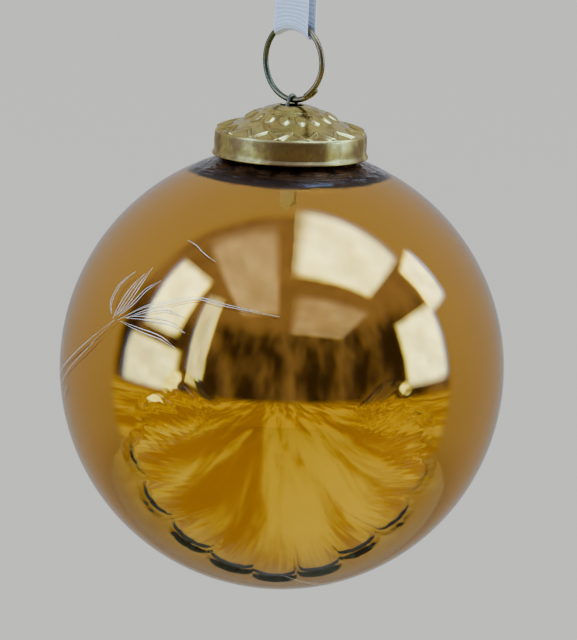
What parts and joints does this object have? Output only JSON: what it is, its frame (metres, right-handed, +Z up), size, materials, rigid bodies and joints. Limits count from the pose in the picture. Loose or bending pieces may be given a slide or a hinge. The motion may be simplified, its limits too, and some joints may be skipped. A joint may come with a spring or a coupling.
{
  "type": "glass ball ornament",
  "caption": "Blown glass ball with a mirrored amber look, closed by an embossed brass cap and hung by a split wire ring on a ribbon loop.",
  "frame": {"origin": "inside top of the ribbon loop, where the hook or twig that holds the ornament bears", "axes": "+Z up along the ball's axis; the ring lies in the XZ plane and the ribbon's width runs along X; -Y is the side of the ribbon's front strand"},
  "size_m": [0.0998, 0.0998, 0.1956],
  "materials": {
    "mirrored_glass": "mirror-like amber glass, silvered inside",
    "cap_brass": "embossed, aged, satin",
    "clip_wire": "tarnished wire",
    "ring_brass": "tarnished wire",
    "ribbon": "ribbed grosgrain"
  },
  "bodies": {
    "ribbon": {"ribbon_loop": "ribbon", "ribbon_knot": "ribbon"},
    "ring": {"hanging_ring": "ring_brass"},
    "clip": {"spring_clip": "clip_wire"},
    "ball": {"glass_ball": "mirrored_glass", "ornament_cap": "cap_brass"}
  },
  "joints": [
    {"name": "ring_turn", "type": "hinge", "parent": "ribbon", "child": "ring", "pos_m": [0, 0, -0.0605], "axis": [0, 1, 0], "range_deg": [-50, 50]},
    {"name": "clip_rock", "type": "hinge", "parent": "ring", "child": "clip", "pos_m": [0, 0, -0.069], "axis": [1, 0, 0], "range_deg": [-75, 75]},
    {"name": "ball_turn", "type": "hinge", "parent": "clip", "child": "ball", "pos_m": [0, 0, -0.0814], "axis": [0, 0, 1], "continuous": true}
  ]
}
